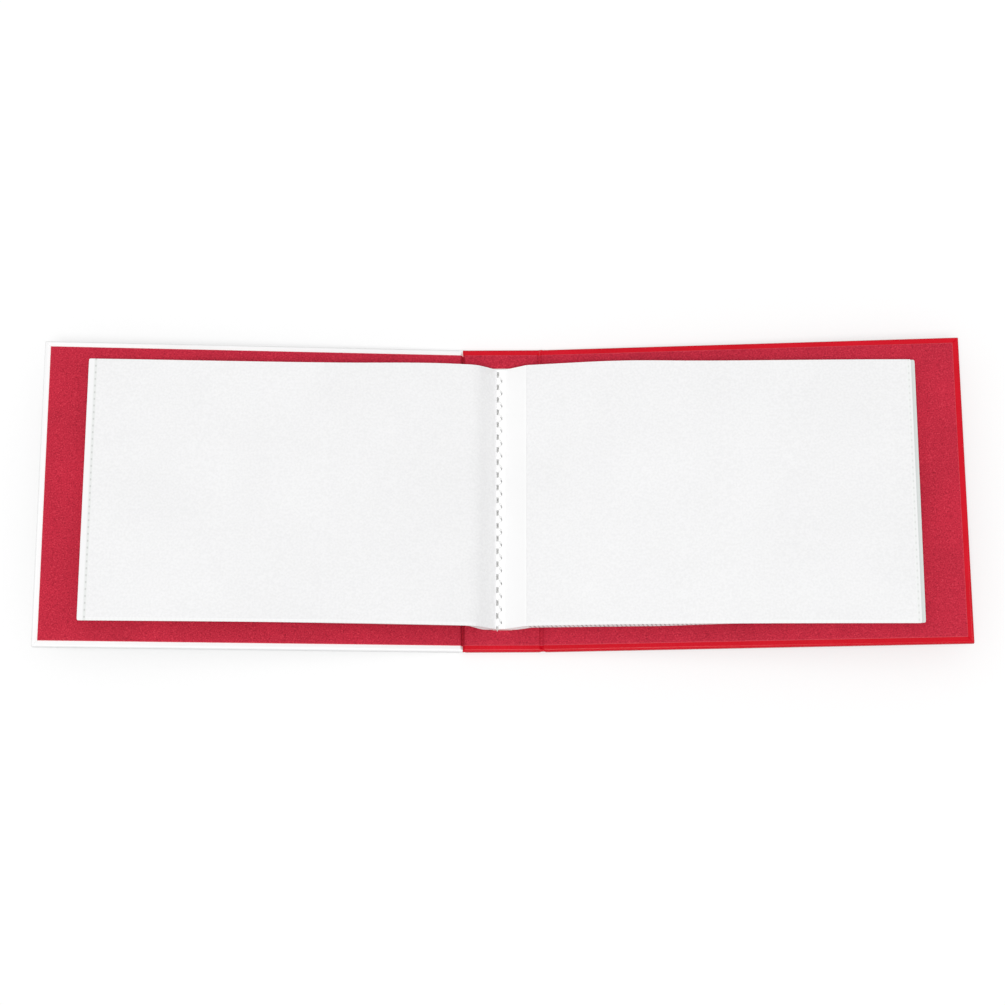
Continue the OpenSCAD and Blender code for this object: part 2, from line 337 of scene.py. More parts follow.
class Finish:
    """A procedural material, with short calls for the nodes that it needs."""

    def __init__(self, name, **inputs):
        self.material = bpy.data.materials.new(name)
        self.material.use_nodes = True
        self.tree = self.material.node_tree
        self.shader = self.tree.nodes["Principled BSDF"]
        for key, value in inputs.items():
            self.shader.inputs[key.replace("_", " ")].default_value = value

    def node(self, kind, inputs=None, **settings):
        """A new node. Each input is a value, or an output of another node."""
        made = self.tree.nodes.new(kind)
        for key, value in settings.items():
            setattr(made, key, value)
        for key, value in (inputs or {}).items():
            if isinstance(value, bpy.types.NodeSocket):
                self.tree.links.new(value, made.inputs[key])
            else:
                made.inputs[key].default_value = value
        return made

    def place(self):
        """Where a point lies in the frame."""
        return self.node("ShaderNodeTexCoord").outputs["Object"]

    def flat_place(self):
        """Where a point lies on its piece laid flat, in millimetres."""
        return self.node("ShaderNodeUVMap", uv_map=FLAT_MAP).outputs["UV"]

    def noise(self, size, detail=2, rough=0.5):
        """Noise whose lumps measure about size in millimetres."""
        inputs = {"Vector": self.place(), "Scale": 1 / (size * MM), "Detail": detail, "Roughness": rough}
        return self.node("ShaderNodeTexNoise", inputs).outputs["Fac"]

    def math(self, operation, *values):
        """A sum, product or the like of values and outputs."""
        return self.node("ShaderNodeMath", dict(enumerate(values)), operation=operation).outputs[0]

    def range(self, value, low, high, to_low, to_high):
        """A value carried from one span to another, and kept within it."""
        inputs = {"Value": value, "From Min": low, "From Max": high, "To Min": to_low, "To Max": to_high}
        return self.node("ShaderNodeMapRange", inputs).outputs["Result"]

    def fade(self, value, start, end):
        """Goes from 1 to 0 as a value goes from start to end."""
        return self.range(value, start, end, 1, 0)

    def ramp(self, factor, *stops):
        """Colours at places along a factor from 0 to 1."""
        made = self.node("ShaderNodeValToRGB", {"Fac": factor})
        elements = made.color_ramp.elements
        while len(elements) < len(stops):
            elements.new(0.5)
        for element, (place, colour) in zip(elements, stops):
            element.position = place
            element.color = (*colour, 1)
        return made.outputs["Color"]

    def level(self, noise, low, high):
        """A level that follows a noise."""
        return self.range(noise, *NOISE_SPAN, low, high)

    def tint(self, noise, dark, light):
        """A colour that follows a noise."""
        return self.ramp(noise, *zip(NOISE_SPAN, (dark, light)))

    def mix(self, factor, a, b, blend="MIX"):
        """Two colours mixed by a factor. Each is three numbers, or an output of another node."""
        a, b = (end if isinstance(end, bpy.types.NodeSocket) else (*end, 1) for end in (a, b))
        inputs = {"Factor": factor, "A": a, "B": b}
        return self.node("ShaderNodeMix", inputs, data_type="RGBA", blend_type=blend).outputs["Result"]

    def bump(self, height, depth):
        """Bumps of a depth in millimetres."""
        inputs = {"Height": height, "Distance": depth * MM, "Strength": 1.0}
        return self.node("ShaderNodeBump", inputs).outputs["Normal"]

    def set(self, **links):
        """Links outputs to the shader, and gives the finished material."""
        for key, value in links.items():
            self.tree.links.new(value, self.shader.inputs[key.replace("_", " ")])
        return self.material


def liner_finish():
    """Matte deep red paper with a fine grain of darker and lighter specks."""
    finish = Finish("red_grained_liner", Roughness=0.75, Specular_IOR_Level=0.15)
    grain = finish.noise(size=0.5, detail=3, rough=0.65)
    specks = finish.ramp(
        grain,
        (0.30, (0.27, 0.008, 0.022)),
        (0.45, (0.47, 0.016, 0.040)),
        (0.58, (0.54, 0.022, 0.050)),
        (0.72, (0.68, 0.060, 0.090)),
    )
    cloud = finish.level(finish.noise(size=22), 0.93, 1.06)
    colour = finish.mix(1.0, specks, cloud, "MULTIPLY")
    return finish.set(Base_Color=colour, Normal=finish.bump(grain, depth=0.06))


def liner_cut_finish():
    """Paler paper that shows at the liner's cut edge."""
    finish = Finish("red_liner_cut_edge", Roughness=0.8, Specular_IOR_Level=0.15)
    fibre = finish.noise(size=0.5, detail=3, rough=0.65)
    return finish.set(Base_Color=finish.tint(fibre, (0.48, 0.022, 0.045), (0.64, 0.065, 0.09)))


def gloss_finish():
    """Glossy bright red wrap with a faint leather grain."""
    finish = Finish("red_gloss_wrap", Roughness=0.26, Specular_IOR_Level=0.12)
    grain = finish.noise(size=0.7, detail=3, rough=0.6)
    colour = finish.tint(finish.noise(size=18), (0.56, 0.003, 0.013), (0.62, 0.005, 0.019))
    rough = finish.level(grain, 0.22, 0.33)
    return finish.set(Base_Color=colour, Roughness=rough, Normal=finish.bump(grain, depth=0.015))


def white_finish():
    """Satin white wrap with a faint leather grain."""
    finish = Finish("white_satin_wrap", Roughness=0.42)
    grain = finish.noise(size=0.7, detail=3, rough=0.6)
    colour = finish.tint(finish.noise(size=25), (0.86, 0.86, 0.86), (0.89, 0.89, 0.89))
    rough = finish.level(grain, 0.36, 0.5)
    return finish.set(Base_Color=colour, Roughness=rough, Normal=finish.bump(grain, depth=0.015))


def embossed_finish():
    """Pale frosted film, embossed with a fine peel."""
    finish = Finish("embossed_film", **FILM_GLOSS)
    cloud = finish.tint(finish.noise(size=30), (0.80, 0.80, 0.805), (0.82, 0.82, 0.825))
    peel = finish.noise(size=0.9)
    tone = finish.range(peel, 0.35, 0.65, 0.965, 1.02)
    colour = finish.mix(1.0, cloud, tone, "MULTIPLY")
    return finish.set(Base_Color=colour, Normal=finish.bump(peel, depth=0.035))


def painted_light_film_finish():
    """Film that is nearly smooth, painted paler than the pocket film: painted light that stands in for the
    light the steep right margin catches.
    """
    finish = Finish("painted_light_film", **FILM_GLOSS)
    colour = finish.tint(finish.noise(size=30), (0.88, 0.88, 0.88), (0.90, 0.90, 0.90))
    return finish.set(Base_Color=colour, Normal=finish.bump(finish.noise(size=0.9), depth=0.004))


def leaf_axes(finish):
    """Distance in from the lower leaves' fore-edge, and up from the tail, in millimetres."""
    axes = finish.node("ShaderNodeSeparateXYZ", {"Vector": finish.flat_place()})
    return axes.outputs["X"], axes.outputs["Y"]


def off_middle(finish, place, pitch):
    """How far a place lies from the middle of its repeat, as a share of the pitch."""
    repeat = finish.math("FRACT", finish.math("DIVIDE", place, pitch))
    return finish.math("SUBTRACT", repeat, 0.5)


def fore_weld_finish(side, on_top):
    """Smooth welded rim of a pocket, with a line of small grey dots, whose grey is partly the weld's mark
    and partly painted shade of their dimples.

    On the leaves below the top one the rim is grey: partly the clear film's own tint, partly painted shade
    from the top leaf above it."""
    rank = "top" if on_top else "lower"
    finish = Finish(f"{HAND[side]}_{rank}_dotted_weld", **WELD_GLOSS)
    inward, upward = leaf_axes(finish)
    off_line = finish.math("SUBTRACT", inward, FORE_WELD[side])
    off_dot = finish.math("MULTIPLY", off_middle(finish, upward, DOT_PITCH), DOT_PITCH)
    shares = [finish.math("DIVIDE", off, half) for off, half in zip((off_line, off_dot), DOT_HALF)]
    reach = finish.math("ADD", *(finish.math("MULTIPLY", share, share) for share in shares))
    dots = finish.fade(reach, *DOT_SOFT)
    line = finish.fade(finish.math("ABSOLUTE", off_line), *LINE_SOFT)
    # Lower leaves' rims are grey: partly the clear film's tint, partly painted shade from the top leaf.
    rim = (0.84, 0.84, 0.845) if on_top else (0.64, 0.67, 0.655)
    colour = finish.mix(line, rim, LINE_GREY[side])
    return finish.set(Base_Color=finish.mix(dots, colour, DOT_GREY_AND_SHADE[side]))


def tail_weld_finish(ticked):
    """Smooth welded rim at a pocket's tail, with faint ticks, or with dark uneven ones near the gutter,
    which are painted shade of the gaps between crimps.
    """
    finish = Finish("painted_shade_ticked_weld" if ticked else "smooth_weld", **WELD_GLOSS)
    inward, _ = leaf_axes(finish)
    off_tick = finish.math("ABSOLUTE", off_middle(finish, inward, TICK_PITCH))
    tick = finish.fade(off_tick, *TICK_SOFT)
    colour = (0.82, 0.825, 0.825)
    if ticked:
        low, high = box("right_leaf_1_front_film")
        near, far = (high[0] - low[0] - reach for reach in TICK_FADE)
        tick = finish.math("MULTIPLY", tick, finish.range(inward, far, near, 0, 1))
        uneven = finish.range(finish.noise(size=2, detail=1), 0.35, 0.6, 0.4, 1)
        tick = finish.math("MULTIPLY", tick, uneven)
        # Dark ticks: painted shade in the gaps between crimps
        colour = (0.30, 0.28, 0.29)
    return finish.set(Base_Color=finish.mix(tick, (0.84, 0.845, 0.845), colour))


def thread_finish():
    """White sewing thread with a fine twist."""
    finish = Finish("white_thread", Roughness=0.75, Sheen_Weight=0.2)
    inputs = {"Vector": finish.flat_place(), "Scale": 0.9, "Distortion": 0.4}
    twist = finish.node("ShaderNodeTexWave", inputs, bands_direction="DIAGONAL").outputs["Fac"]
    colour = finish.ramp(twist, (0.0, (0.78, 0.78, 0.77)), (1.0, (0.90, 0.90, 0.89)))
    return finish.set(Base_Color=colour, Normal=finish.bump(twist, depth=0.03))


def board_finish():
    """Grey-brown pulp board with fibres."""
    finish = Finish("grey_board", Roughness=0.9, Specular_IOR_Level=0.2)
    fibre = finish.noise(size=1.2, detail=6, rough=0.7)
    colour = finish.tint(fibre, (0.34, 0.29, 0.23), (0.50, 0.44, 0.36))
    return finish.set(Base_Color=colour, Normal=finish.bump(fibre, depth=0.1))


def strip_finish():
    """Woven white binding tape."""
    finish = Finish("woven_strip", Roughness=0.85, Specular_IOR_Level=0.2)
    inputs = {"Vector": finish.place(), "Scale": 1 / (WEAVE * MM)}
    waves = [finish.node("ShaderNodeTexWave", inputs, bands_direction=axis) for axis in ("X", "Y")]
    weave = finish.math("MULTIPLY", *(wave.outputs["Fac"] for wave in waves))
    colour = finish.ramp(weave, (0.0, (0.70, 0.70, 0.68)), (0.6, (0.86, 0.86, 0.84)))
    return finish.set(Base_Color=colour, Normal=finish.bump(weave, depth=0.05))


liner_red = liner_finish()
liner_cut = liner_cut_finish()
gloss_red = gloss_finish()
satin_white = white_finish()
pocket_film = embossed_finish()
painted_light_film = painted_light_film_finish()
fore_weld = {(side, on_top): fore_weld_finish(side, on_top) for side in SIDES for on_top in (False, True)}
smooth_weld = tail_weld_finish(ticked=False)
painted_shade_ticked_weld = tail_weld_finish(ticked=True)
thread_white = thread_finish()
board_grey = board_finish()
strip_white = strip_finish()

# Case


def edge_chain(thickness, inset):
    """The wrap in section round one edge of a board, as (depth in from the edge, height).

    It runs from the turned-in end over the rounded edge to the middle of the outer face.
    inset is 0 for the outside of the wrap and the wrap's thickness for its inside."""
    radius = max(min(EDGE_R, thickness / 2) - inset, INSIDE_R_MIN)
    top, low = thickness - inset, inset
    turn = np.linspace(0, math.pi / 2, EDGE_STEPS)
    near, far = radius * (1 - np.cos(turn)), radius * (1 - np.sin(turn))
    over = np.column_stack((inset + far, top - near))
    under = np.column_stack((inset + near, low + far))
    flat = inset + radius + SUPPORT
    inside = [(TURN_IN, top), (BORDER, top), ((BORDER + flat) / 2, top), (flat, top)]
    outside = [(flat, low), (CASE_HALF, low)]
    return np.vstack((inside, over, under, outside))


def wrap_grids(lows, tops):
    """Outside and inside of the wrap round head and tail, at stations given by (x, z) below and above."""
    grids = []
    for inset in (0, WRAP_T):
        rows = []
        for low, top in zip(lows, tops):
            thickness = np.linalg.norm(top - low)
            chain = edge_chain(thickness, inset)
            section = low + chain[:, 1:] * (top - low) / thickness
            head = in_space(section, CASE_HALF - chain[:, 0])
            rows.append(np.vstack((head, head[::-1] * (1, -1, 1))))
        grids.append(np.array(rows))
    return grids


def spine_skin():
    """The red wrap round the spine board."""
    ends = np.array((-SPINE_HALF, SPINE_HALF))
    lows = np.column_stack((ends, np.zeros(2)))
    tops = np.column_stack((ends, np.full(2, SPINE_RIM)))
    surface = Surface()
    surface.slab(*wrap_grids(lows, tops))
    made = surface.make("spine_skin", RIGHT, gloss_red)
    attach(made, "spine")
    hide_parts("spine_wrap")


def cover_plan(depth):
    """The cover's outline at a depth in from its edge, from the tail's hinge end round to the head's."""
    clear = max(depth, CORNER_PLAN_R)
    turn = np.linspace(-math.pi / 2, 0, EDGE_STEPS)
    radius = max(CORNER_PLAN_R - depth, 0)
    near_u = COVER_W - clear - MITRE_W
    near_y = max(CASE_HALF - clear - MITRE_W, 0)
    corner_u = COVER_W - clear + radius * np.cos(turn)
    corner_y = -(CASE_HALF - clear) + radius * np.sin(turn)
    edge_y = -(CASE_HALF - depth)
    tail = np.vstack((
        [(HINGE_GAP, edge_y), (near_u, edge_y)],
        np.column_stack((corner_u, corner_y)),
        [(COVER_W - depth, -near_y)],
    ))
    return np.vstack((tail, tail[::-1] * (1, -1)))


def cover_skin(side):
    """The wrap round a cover board, turned in on three sides with mitred corners."""
    thickness = RIM - OUTER
    tail = [False] * 2 + [True] * EDGE_STEPS + [False]
    corner = np.array(tail + tail[::-1])
    grids = []
    for inset in (0, WRAP_T):
        columns = []
        for depth, height in edge_chain(thickness, inset):
            plan = cover_plan(depth)
            level = np.full(len(plan), OUTER + height)
            if inset == 0 and height == thickness:
                level[corner] -= MITRE_DEPTH
            columns.append(in_space(on_cover(plan[:, 0], level), plan[:, 1]))
        grids.append(np.stack(columns, 1))
    surface = Surface()
    surface.slab(*grids, open_end=True)
    name = COVER[side]
    finish, slot = (satin_white, "white_wrap") if side == LEFT else (gloss_red, "red_wrap")
    made = surface.make(f"{name}_cover_skin", side, finish)
    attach(made, f"{name}_cover")
    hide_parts(f"{name}_cover_wrap")


def gap_line(level):
    """A straight line in section across the hinge gap, at a level above the hinge line."""
    start = np.array((SPINE_HALF, HINGE[1] + level))
    return start + ACROSS_GAP[:, None] * (on_cover(HINGE_GAP, level) - start)


def off_ends(run):
    """1 across the hinge gap, and falling to 0 over a run at each of its ends."""
    return rise(ACROSS_GAP, 0, run) * rise(1 - ACROSS_GAP, 0, run)


def groove_depth(side):
    """How deep the groove is pressed along that line, with a low lip beside it."""
    pressed = np.exp(-((ACROSS_GAP - GROOVE_PLACE[side]) / GROOVE_SPREAD[side]) ** 2)
    lip = np.exp(-((ACROSS_GAP - LIP_PLACE) / LIP_SPREAD) ** 2)
    return (GROOVE_DEPTH[side] * pressed - GROOVE_LIP[side] * lip) * off_ends(LIP_SPREAD)


def bend_over_hinge(made):
    """Bakes the place of a piece that crosses the hinge gap, from the spine to a cover, into its mesh."""
    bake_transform(made)


def joint_skin(side):
    """The wrap across a hinge: pressed up into the gap outside, and turned in over head and tail.

    The groove is pressed into the turned-in wrap where the liner covers it, not into its outer edge."""
    tops, lows, depth = gap_line(RIM), gap_line(OUTER), groove_depth(side)
    lows[:, 1] += off_ends(PINCH_RUN) * (tops[:, 1] - depth - JOINT_PINCH - lows[:, 1])
    grids = wrap_grids(lows, tops)
    for grid in grids:
        height = (grid[..., 2] - lows[:, None, 1]) / (tops - lows)[:, None, 1]
        inward = CASE_HALF - np.abs(grid[..., 1])
        grid[..., 2] -= depth[:, None] * rise(height, *GROOVE_HEIGHTS) * rise(inward, *GROOVE_RUN)
    surface = Surface()
    surface.slab(*grids)
    made = surface.make(f"{COVER[side]}_joint_skin", side, gloss_red, satin_white)
    if side == LEFT:
        # The white wrap of the cover begins at the hinge line
        for face in made.data.polygons:
            face.material_index = int(abs(face.center.x) > HINGE[0] * MM)
    bend_over_hinge(made)
    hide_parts(f"{COVER[side]}_hinge_cloth")


def edge_stops(half):
    """Places at which a liner needs points near one of its edges, which lies at half."""
    window = half - WINDOW_IN
    return [window - WINDOW_RUN, window + WINDOW_CLEAR, half - LINER_EDGE, half - LINER_LIP, half]


def rounded(distance):
    """How far a liner's face drops near its edge, and over the opening in the turned-in wrap."""
    drop = LINER_DROP * (1 - np.clip(distance / LINER_EDGE, 0, 1)) ** 2
    return drop + WINDOW_DIP * rise(distance, WINDOW_IN, WINDOW_IN + WINDOW_RUN)


def lining(name, side, sections, far_edge=np.inf):
    """A liner sheet with rounded edges.

    sections are (x, z) on its face, and far_edge is how far each lies from the sheet's fore-edge."""
    y = spread(mirrored(edge_stops(LINER_HALF)), LINER_STEP)
    far_edge = np.broadcast_to(far_edge, len(sections))
    distance = np.minimum(far_edge[:, None], LINER_HALF - np.abs(y))
    top = in_space(sections[:, None, :], y)
    low = top - (0, 0, LINER_T)
    top[..., 2] -= rounded(distance)
    kinds = (np.minimum(distance[:-1, :-1], distance[1:, 1:]) < LINER_EDGE - NUDGE).astype(int)
    surface = Surface()
    surface.slab(top, low, kinds=kinds)
    made = surface.make(name, side, liner_red, liner_cut)
    return made


def linings():
    """The grained sheets on the spine, on the covers and across the hinges."""
    x = np.linspace(-SPINE_HALF, SPINE_HALF, SPINE_COLUMNS)
    flat = np.column_stack((x, np.full(len(x), SPINE_TOP)))
    made = lining("spine_lining", RIGHT, flat)
    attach(made, "spine")
    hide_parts("spine_liner")
    for side in SIDES:
        name = COVER[side]
        far = COVER_W - BORDER
        u = spread([HINGE_GAP, *edge_stops(far)], LINER_STEP)
        made = lining(f"{name}_cover_lining", side, on_cover(u, RIM + LINER_T), far - u)
        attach(made, f"{name}_cover")
        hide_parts(f"{name}_cover_liner")
        groove = gap_line(RIM + LINER_T)
        groove[:, 1] -= groove_depth(side)
        made = lining(f"{name}_groove_lining", side, groove)
        bend_over_hinge(made)


# Leaves


class LeafLine:
    """The middle of a leaf in section, from its fold to its fore-edge, measured along the leaf."""

    def __init__(self, side, k):
        """Draws the line of the leaf in sheet k, counted from the lowest sheet."""
        fold_low, fold_high = box(f"sheet_{k}_fold")
        fold = np.array((fold_high[0], (fold_low[2] + fold_high[2]) / 2))
        crease = axis_point(f"{HAND[side]}_leaf_{k}_crease") - (CREASE_IN[side], 0)
        high = box(f"right_leaf_{k}_front_film")[1]
        edge = np.array((high[0], high[2] - FILM_T))
        self.back = TOP_BACK[side] if k == SHEETS else 0.0
        edge = edge - (PULLED_IN[side] + self.back) * (edge - crease) / np.linalg.norm(edge - crease)
        pocket = self.pocket(crease, edge, ARCH * k / SHEETS)
        corner = fold + (GUTTER_BEND, 0)
        margin = (crease - corner) / np.linalg.norm(crease - corner)
        reach = CREASE_BEND[side]
        beyond = np.linalg.norm(pocket - crease, axis=1) > reach
        leave = crease - reach * margin
        land = pocket[beyond][0]
        self.points = np.vstack((
            self.bend(fold, corner, corner + GUTTER_BEND * margin),
            self.bend(leave, crease, land),
            pocket[beyond][1:],
        ))
        steps = np.linalg.norm(np.diff(self.points, axis=0), axis=1)
        self.along = np.concatenate(([0], np.cumsum(steps)))
        self.crease_at = self.along[np.linalg.norm(self.points - crease, axis=1).argmin()]
        self.length = self.along[-1]
        self.side, self.below = side, SHEETS - k

    @staticmethod
    def pocket(crease, edge, arch):
        """The arched line of a pocket, from its crease to its fore-edge."""
        share = np.linspace(0, 1, POCKET_STEPS)[:, None]
        run = (edge - crease) / np.linalg.norm(edge - crease)
        up = np.array((-run[1], run[0]))
        return crease + share * (edge - crease) + up * arch * np.sin(math.pi * share ** ARCH_LEAN)

    @staticmethod
    def bend(a, corner, b):
        """A soft bend round a corner."""
        t = np.linspace(0, 1, BEND_STEPS)[:, None]
        return (1 - t) ** 2 * a + 2 * t * (1 - t) * corner + t ** 2 * b

    def at(self, along, height):
        """Points at distances along the leaf and heights above its middle, as (x, z)."""
        along, height = np.broadcast_arrays(along, height)
        ahead, behind = self.middle(along + RUN_REACH), self.middle(along - RUN_REACH)
        run = (ahead - behind) / np.linalg.norm(ahead - behind, axis=-1, keepdims=True)
        up = np.stack((-run[..., 1], run[..., 0]), -1)
        return self.middle(along) + height[..., None] * up

    def head_shift(self, along):
        """How far a leaf's head lies from the block's full height."""
        share = along / self.length
        swell = np.exp(-((share - SWELL_PLACE[self.side]) / SWELL_SPREAD) ** 2)
        return HEAD_SWELL[self.side] * swell - HEAD_SAG[self.side] * np.sin(math.pi * share) - HEAD_LOW

    def tail_shift(self, along):
        """The same for its tail. The tail of a lower leaf stands back and hides below the top leaf."""
        near, far = rise(along, *STEP_NEAR_RUN), rise(along, *STEP_FAR_RUN[self.side])
        step = STEP_NEAR[self.side] * near + (STEP_FAR - STEP_NEAR[self.side]) * far
        return TAIL_RISE[self.side] * along / self.length + step * self.below

    def middle(self, along):
        """Points on the middle line, which runs straight on past its ends."""
        inside = np.clip(along, 0, self.length)
        x = np.interp(inside, self.along, self.points[:, 0])
        z = np.interp(inside, self.along, self.points[:, 1])
        first = (self.points[1] - self.points[0]) / (self.along[1] - self.along[0])
        last = (self.points[-1] - self.points[-2]) / (self.along[-1] - self.along[-2])
        over = (along - inside)[..., None]
        return np.stack((x, z), -1) + over * np.where(over < 0, first, last)


def leaf_sheet(line, along, y, low, high, kinds=None):
    """A sheet of a leaf between two heights, each a number or a grid, with its outer corners rounded."""
    place, across = np.meshgrid(along, y, indexing="ij")
    past = np.clip(np.abs(across) - (LEAF_HALF - CORNER_R), 0, CORNER_R)
    place = np.minimum(place, line.length - CORNER_R + np.sqrt(CORNER_R ** 2 - past ** 2))
    flat = np.stack((line.length + line.back - place, across + LEAF_HALF), -1)
    up_leaf = (across + LEAF_HALF) / (2 * LEAF_HALF)
    across += (1 - up_leaf) * line.tail_shift(place) + up_leaf * line.head_shift(place)
    surface = Surface()
    top = in_space(line.at(place, high), across)
    bottom = in_space(line.at(place, low), across)
    surface.slab(top, bottom, flat, kinds=kinds)
    return surface


def leaf_rows(step):
    """Places up a leaf from tail to head, closer together at its rounded corners."""
    corner = [LEAF_HALF - share * CORNER_R for share in CORNER_ROWS]
    return spread(mirrored(corner), step)


def past_crease(start, near, ends, steps):
    """Places along a leaf: from start to near in fine steps, and on to each of the ends in coarse ones."""
    fine, coarse = steps
    return np.concatenate((spread([start, near], fine), spread([near, *ends], coarse)[1:]))


def pocket_face(line, side, k):
    """The front film of a pocket: slack, open at the head, with a dotted weld along its fore-edge."""
    start, end = line.crease_at + POCKET_GAP[side], line.length
    weld = end + line.back - FORE_WELD[side]
    rim = sorted([*(weld + n * DOT_HALF[0] for n in range(-2, 3)), end - FORE_ROW, end])
    along = past_crease(start, start + FACE_NEAR, rim, FACE_STEPS)
    y = leaf_rows(FACE_ROWS)
    up_from_tail = y + LEAF_HALF
    slack = rise(along, start, start + SLACK_SIDES) * rise(rim[0] - along, 0, SLACK_SIDES)
    gap = PILLOW * slack[:, None] * rise(up_from_tail, TAIL_BAND, TAIL_BAND + SLACK_TAIL)
    beside = up_from_tail % DOT_PITCH - DOT_PITCH / 2
    reach = np.hypot((along - weld)[:, None] / DOT_HALF[0], beside / DOT_HALF[1])
    pits = DOT_DEPTH * np.clip(1 - reach, 0, 1)
    # Kinds of cells: 0 for the film, 1 for the weld at the fore-edge and 2 for the weld at the tail
    kinds = np.zeros((len(along) - 1, len(y) - 1), int)
    kinds[:, up_from_tail[1:] <= TAIL_BAND + NUDGE] = 2
    kinds[along[:-1] >= rim[0] - NUDGE] = 1
    tail_weld = painted_shade_ticked_weld if side == RIGHT and k < SHEETS else smooth_weld
    materials = (pocket_film, fore_weld[side, k == SHEETS], tail_weld)
    surface = leaf_sheet(line, along, y, gap, gap + FILM_T - pits, kinds)
    return surface.make(f"{HAND[side]}_leaf_{k}_pocket_face", side, *materials, in_block=True)


def leaf(side, k):
    """One leaf: its margin at the fold, the sheet that runs on over the crease, and the pocket's face."""
    name = f"{HAND[side]}_leaf_{k}"
    line = LeafLine(side, k)
    crease, middle = line.crease_at, line.crease_at / 2
    y = leaf_rows(SHEET_ROWS)
    inner_step, outer_step = MARGIN_STEPS
    # The right margin gets the paler film, whose extra paleness is painted light.
    margin_film = pocket_film if side == LEFT else painted_light_film

    inner = leaf_sheet(line, spread([0, middle], inner_step), y, -FILM_T, FILM_T)
    inner = inner.make(f"{name}_inner_margin", side, margin_film, in_block=True)
    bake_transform(inner)
    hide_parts(f"{name}_margin")

    margin = spread([middle, crease], outer_step)
    back = past_crease(crease + CREASE_STEP, crease + SHEET_NEAR, [line.length], SHEET_STEPS)
    along = np.concatenate((margin, back))
    high = np.where(along <= crease, FILM_T, 0.0)[:, None]
    kinds = np.zeros((len(along) - 1, len(y) - 1), int)
    kinds[along[:-1] >= crease] = 1
    sheet = leaf_sheet(line, along, y, -FILM_T, high, kinds)
    sheet = sheet.make(f"{name}_sheet", side, margin_film, pocket_film, in_block=True)
    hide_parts(f"{name}_back_film")

    face = pocket_face(line, side, k)
    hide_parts(f"{name}_front_film")
    for made in (sheet, face):
        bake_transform(made)


# Seam


def slits():
    """The needle slits of the seam from the tail up, as (side, y)."""
    run = 2 * LEAF_HALF - HEAD_LOW - SEAM_END
    count = math.floor(run / (STITCH_PITCH / 2))
    sides = [LEFT if i % 2 == 0 else RIGHT for i in range(count + 1)]
    return [(side, i * STITCH_PITCH / 2 - LEAF_HALF) for i, side in enumerate(sides)]


def fold(k):
    """The sewn middle of a sheet, cut by the needle slits.

    The right slits slant in the top sheet, and in the lower sheets the thread fills them."""
    node = f"sheet_{k}_fold"
    low, high = box(node)
    high[1] -= HEAD_LOW
    width = dict(SLIT_W)
    if k < SHEETS:
        width[RIGHT] = THREAD_D
    edges = {side: [SEAM_X[side] + end * width[side] / 2 for end in (-1, 1)] for side in SIDES}
    x = np.array([low[0], *edges[LEFT], 0, *edges[RIGHT], high[0]])
    cuts = [(side, max(at - SLIT_L[side] / 2, low[1]), at + SLIT_L[side] / 2) for side, at in slits()]
    y = np.unique(np.array([low[1], high[1]] + [end for cut in cuts for end in cut[1:]]))
    keep = np.ones((len(x) - 1, len(y) - 1), bool)
    for side, tail, head in cuts:
        column = np.searchsorted(x, SEAM_X[side]) - 1
        keep[column, (y[:-1] >= tail - NUDGE) & (y[1:] <= head + NUDGE)] = False
    flat = np.stack(np.meshgrid(x, y, indexing="ij"), -1)
    if k == SHEETS:
        slanted = np.searchsorted(x, edges[RIGHT])
        for tail, head in (cut[1:] for cut in cuts if cut[0] == RIGHT):
            flat[slanted, np.searchsorted(y, tail), 0] += SLIT_SLANT
            flat[slanted, np.searchsorted(y, head), 0] -= SLIT_SLANT
    grids = [np.concatenate((flat, np.full(flat.shape[:2] + (1,), z)), -1) for z in (high[2], low[2])]
    # The strip to the left of the seam is the same film as the left margin
    kinds = np.zeros(keep.shape, int)
    kinds[0] = 1
    surface = Surface()
    surface.slab(*grids, flat, keep, kinds)
    # Most of the fold gets the paler film with its painted light; the strip left of the seam gets the
    # pocket film.
    made = surface.make(f"sewn_fold_{k}", RIGHT, painted_light_film, pocket_film, in_block=True)
    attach(made, "spine")
    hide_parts(node)


def tube(surface, path, radius, sides=8):
    """Adds a round tube along a path of points."""
    path = np.asarray(path, float)
    run = np.gradient(path, axis=0)
    run /= np.linalg.norm(run, axis=1, keepdims=True)
    aside = np.cross(run, (1, 0, 0))
    aside /= np.linalg.norm(aside, axis=1, keepdims=True)
    upright = np.cross(aside, run)
    first = sum(len(p) for p in surface.points)
    turn = np.linspace(0, 2 * math.pi, sides, endpoint=False)
    ring = np.cos(turn)[None, :, None] * aside[:, None] + np.sin(turn)[None, :, None] * upright[:, None]
    length = np.concatenate(([0], np.cumsum(np.linalg.norm(np.diff(path, axis=0), axis=1))))
    flat = np.stack(np.broadcast_arrays(length[:, None], radius * turn[None, :]), -1)
    surface.points.append((path[:, None] + radius * ring).reshape(-1, 3))
    surface.flat.append(flat.reshape(-1, 2))
    index = np.arange(len(path) * sides).reshape(len(path), sides) + first
    after = np.roll(index, -1, axis=1)
    for i in range(len(path) - 1):
        for j in range(sides):
            surface.faces.append([index[i, j], after[i, j], after[i + 1, j], index[i + 1, j]])
    surface.faces += [index[0].tolist(), index[-1].tolist()]
    surface.kinds += [0] * (len(surface.faces) - len(surface.kinds))


